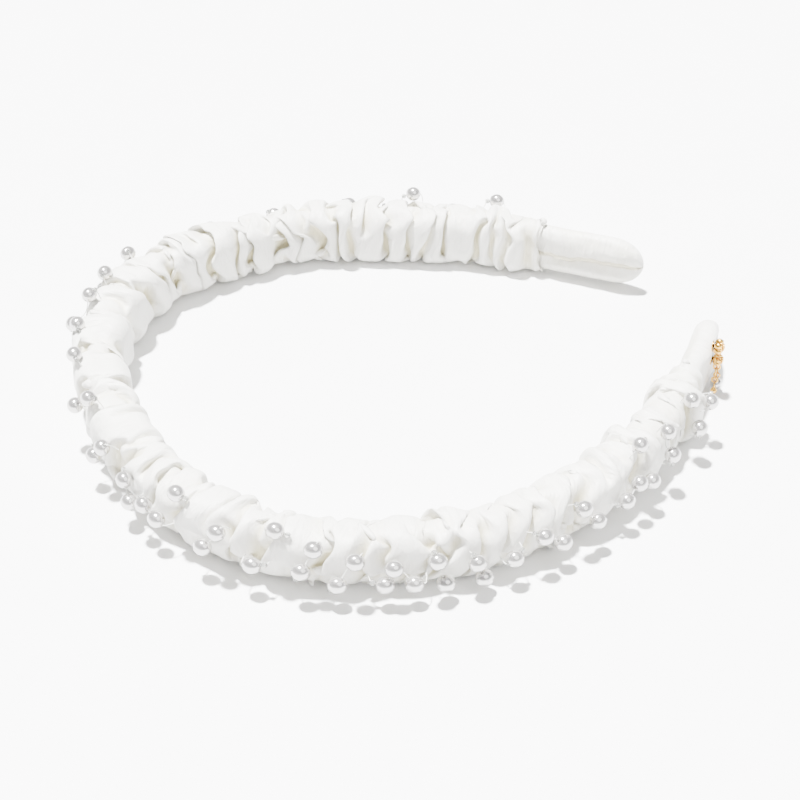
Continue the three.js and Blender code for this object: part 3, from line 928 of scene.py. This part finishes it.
# ---------------------------------------------------------------- charm
CHARM_STATION, CHARM_N = -176.0, 4.1
ROSETTE_HEIGHTS = (12.2, 8.9)
PETALS, HALF_PETAL = 5, 0.63
EYE_HEIGHT, RING_RADIUS, DROP_TURN = 7.0, 1.6, math.radians(40)
WIRE, EYE_WIRE, LOOP = 0.18, 0.22, 0.65        # wire radii, and the radius of a drop's loop
DROP_PEARL = 1.3                               # the radius of the charm's pearl
PLATE_HEIGHT, GOLD_BEAD_HEIGHT = 10.4, 1.3
charm_x, charm_y, charm_heading = (float(v) for v in along(CHARM_STATION))


def charm_place(points):
    """Charm points, (along the band, outwards, height over the table) in mm, to metres."""
    points = np.asarray(points, float)
    t = (math.sin(charm_heading), math.cos(charm_heading))
    o = (-math.cos(charm_heading), math.sin(charm_heading))
    x = charm_x + (points[:, 0] * t[0] + points[:, 1] * o[0]) * MM
    y = charm_y + (points[:, 0] * t[1] + points[:, 1] * o[1]) * MM
    return np.stack([x, y, points[:, 2] * MM], -1)


def ellipsoid(radii, steps=12):
    """The profile of an ellipsoid, not quite closed at its poles."""
    return [(-radii[0] * math.cos(a), radii[1] * math.sin(a))
            for a in np.linspace(0.02, math.pi - 0.02, steps)]


def circle_path(centre, radius, axis, start, end, steps):
    """Part of a circle whose axis is x or y, from start to end in degrees, 0 downwards."""
    path = []
    for a in np.radians(np.linspace(start, end, steps)):
        step = (radius * math.sin(a), -radius * math.cos(a))
        path.append(np.array(centre) + (np.array((0, step[0], step[1])) if axis == "x"
                                        else np.array((step[0], 0, step[1]))))
    return path


def build_rosette(name, node_name, height, scale, first_petal, with_eye):
    """A small gilt flower: domed petals, a bead on each and in each gap, and a raised, ringed middle."""
    made = Builder()
    for i in range(PETALS):
        turn = first_petal + 2 * math.pi * i / PETALS
        out = np.array((math.cos(turn), 0, math.sin(turn)))
        centre = np.array((0, CHARM_N - 0.1, height)) + out * 0.98 * scale
        made.revolve(ellipsoid((0.95, 0.72 * scale)), centre, (0, 1, 0) + 0.35 * out, 0, 18, closed=False)
        rim = centre + out * 0.34 * scale + np.array((0, 0.78, 0))
        made.revolve(ellipsoid((0.2, 0.2), 7), rim, (0, 1, 0), 0, 10, closed=False)
        gap = np.array((math.cos(turn + HALF_PETAL), 0, math.sin(turn + HALF_PETAL)))
        bead = np.array((0, CHARM_N + 0.5, height)) + gap * 1.12 * scale
        made.revolve(ellipsoid((0.34, 0.26), 7), bead, (0, 1, 0), 0, 10, closed=False)
    made.revolve(ellipsoid((1.25, 0.86), 14), (0, CHARM_N + 0.1, height), (0, 1, 0), 0, 20, closed=False)
    twist = [np.array((0.66 * math.cos(a), CHARM_N + 1.0 + 0.09 * math.cos(9 * a),
                       height + 0.66 * math.sin(a)))
             for a in np.linspace(0, 2 * math.pi, 60)]
    made.tube(twist, 0.14, 0, 6)
    if with_eye:
        made.tube([(0, CHARM_N, EYE_HEIGHT + 0.6), (0, CHARM_N, height - 0.7)], 0.2, 0, 10)
        made.tube(circle_path((0, CHARM_N, EYE_HEIGHT), 0.7, "x", 185, 540, 28), EYE_WIRE, 0, 10)
    obj = made.make(name, (GOLD,), charm_place)
    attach(obj, "right_arm")
    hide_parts(node_name)


def build_charm():
    upper, lower = ROSETTE_HEIGHTS
    build_rosette("gilt_rosette_upper", "charm_rosette_upper", upper, 1.08, math.radians(36), False)
    build_rosette("gilt_rosette_lower", "charm_rosette_lower", lower, 0.86, math.radians(18), True)
    middle = (0, CHARM_N, EYE_HEIGHT - RING_RADIUS)
    made = Builder()
    made.tube(circle_path(middle, RING_RADIUS, "y", 96, 444, 44), 0.2, 0, 10)
    ring = made.make("gilt_jump_ring", (GOLD,), charm_place)
    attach(ring, "charm_ring")
    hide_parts("charm_ring")
    drop_x = RING_RADIUS * math.sin(DROP_TURN)
    drop_z = EYE_HEIGHT - RING_RADIUS - RING_RADIUS * math.cos(DROP_TURN)
    # headpin with its looped eye, through the pearl
    pearl_z = drop_z - LOOP - WIRE - 0.1 - DROP_PEARL
    made = Builder()
    made.tube(circle_path((-drop_x, CHARM_N, drop_z), LOOP, "x", 10, 372, 26), WIRE, 0, 10)
    made.tube([(-drop_x, CHARM_N, drop_z - 0.55), (-drop_x, CHARM_N, pearl_z - 1.40)], 0.2, 0, 10)
    made.revolve(ellipsoid((0.13, 0.42), 10), (-drop_x, CHARM_N, pearl_z - 1.50), (0, 0, 1), 0, 18,
                 closed=False)
    pin = made.make("gilt_headpin", (GOLD,), charm_place)
    made = Builder()
    made.revolve(bored_ball(DROP_PEARL, 0.3, 0.1, 20), (-drop_x, CHARM_N, pearl_z), (0, 0, 1), 0, 28)
    pearl = made.make("pearl_drop_bead", (PEARL,), charm_place)
    for obj, replaced, slot_name in ((pin, "drop_pin", "gold"), (pearl, "drop_pearl", "pearl")):
        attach(obj, "pearl_drop")
        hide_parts(replaced)
    made = Builder()
    made.tube(circle_path((drop_x, CHARM_N, drop_z), LOOP, "x", 10, 372, 26), WIRE, 0, 10)
    made.tube([(drop_x, CHARM_N, drop_z - 0.5), (drop_x, CHARM_N, 1.5)], WIRE, 0, 8)
    profile = [(-0.75, 0.05), (-0.7, 0.28), (-0.5, 0.55), (-0.2, 0.72), (0.2, 0.72), (0.5, 0.55),
               (0.68, 0.34), (0.86, 0.30), (0.92, 0.16), (0.93, 0.03)]
    made.revolve(profile, (drop_x, CHARM_N, GOLD_BEAD_HEIGHT), (0, 0, 1), 0, 12, closed=False)
    drop = made.make("gilt_bead_drop", (GOLD,), charm_place)
    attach(drop, "gold_bead")
    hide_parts("gold_bead_drop")
    # backing plate, rounded at its edges
    made = Builder()
    outline = rounded_section(1.1, 2.9, 0.9, 40)
    rings = [(2.62, 0.90), (2.62, 0.97), (2.68, 1.0), (2.82, 1.0), (2.88, 0.97), (2.88, 0.90)]
    points = np.array([[(x * k, n, PLATE_HEIGHT + z * k) for x, z in outline] for n, k in rings])
    made.grid(points, 0, caps=True)
    plate = made.make("gilt_backing_plate", (GOLD,), charm_place)
    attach(plate, "right_arm")
    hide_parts("charm_plate")


# ---------------------------------------------------------------- build everything
build_sleeves()
for side, arm in ((-1, "right_arm"), (1, "left_arm")):
    name = arm[:-4]
    build_cover(side, arm)
    foam = build_layer("foam_pad_" + name, side, FOAM_HALF, FOAM_CORNER, FOAM_END, 0.04, 41 + side,
                       FOAM, ("foam_crown", "foam_right") if side < 0 else ("foam_left",))
    build_layer("spring_strip_" + name, side, STRIP_HALF, STRIP_CORNER, STRIP_END, 0.0, 51 + side,
                PLASTIC, ("core_crown", "core_right") if side < 0 else ("core_left",))
    build_elastic(side, arm)
for i, (name, group) in enumerate(sewings.items()):
    build_sewing(name, group, i)
build_charm()

# ---------------------------------------------------------------- floor, light and world
floor = new_object("floor", [(-3, -3, 0), (3, -3, 0), (3, 3, 0), (-3, 3, 0)], [(0, 1, 2, 3)], smooth=False)
floor.data.materials.append(FLOOR)


def aim(name, data, azimuth, elevation, distance):
    """Adds a light that points at the origin. Azimuth is where it comes from: 0 is +Y and 90 is +X."""
    light = bpy.data.objects.new(name, data)
    a, e = math.radians(azimuth), math.radians(elevation)
    light.location = Vector((math.sin(a) * math.cos(e), math.cos(a) * math.cos(e), math.sin(e))) * distance
    light.rotation_euler = (-light.location).to_track_quat("-Z", "Y").to_euler()
    bpy.context.scene.collection.objects.link(light)


key = bpy.data.lights.new("key", "SUN")
key.energy, key.angle = 32.5, 0.08
aim("key", key, -34, 78, 1.0)
fill = bpy.data.lights.new("fill", "AREA")
fill.shape, fill.size, fill.energy = "DISK", 1.0, 9.0
aim("fill", fill, 170, 48, 1.2)
world = bpy.data.worlds.new("world")
world.use_nodes = True
nodes, links = world.node_tree.nodes, world.node_tree.links
direction = node(nodes, "ShaderNodeTexCoord").outputs["Generated"]
height = node(nodes, "ShaderNodeSeparateXYZ")
links.new(direction, height.inputs[0])
sky = ramp(nodes, links, height.outputs["Z"], [
    (0.0, (0.95, 0.96, 1.0)), (0.18, (0.80, 0.81, 0.84)), (0.36, (0.30, 0.29, 0.285)),
    (0.75, (0.24, 0.235, 0.23)), (0.92, (0.75, 0.76, 0.78)), (1.0, (1.0, 1.0, 1.0))])
links.new(sky.outputs[0], nodes["Background"].inputs["Color"])
nodes["Background"].inputs["Strength"].default_value = 1.5
bpy.context.scene.world = world
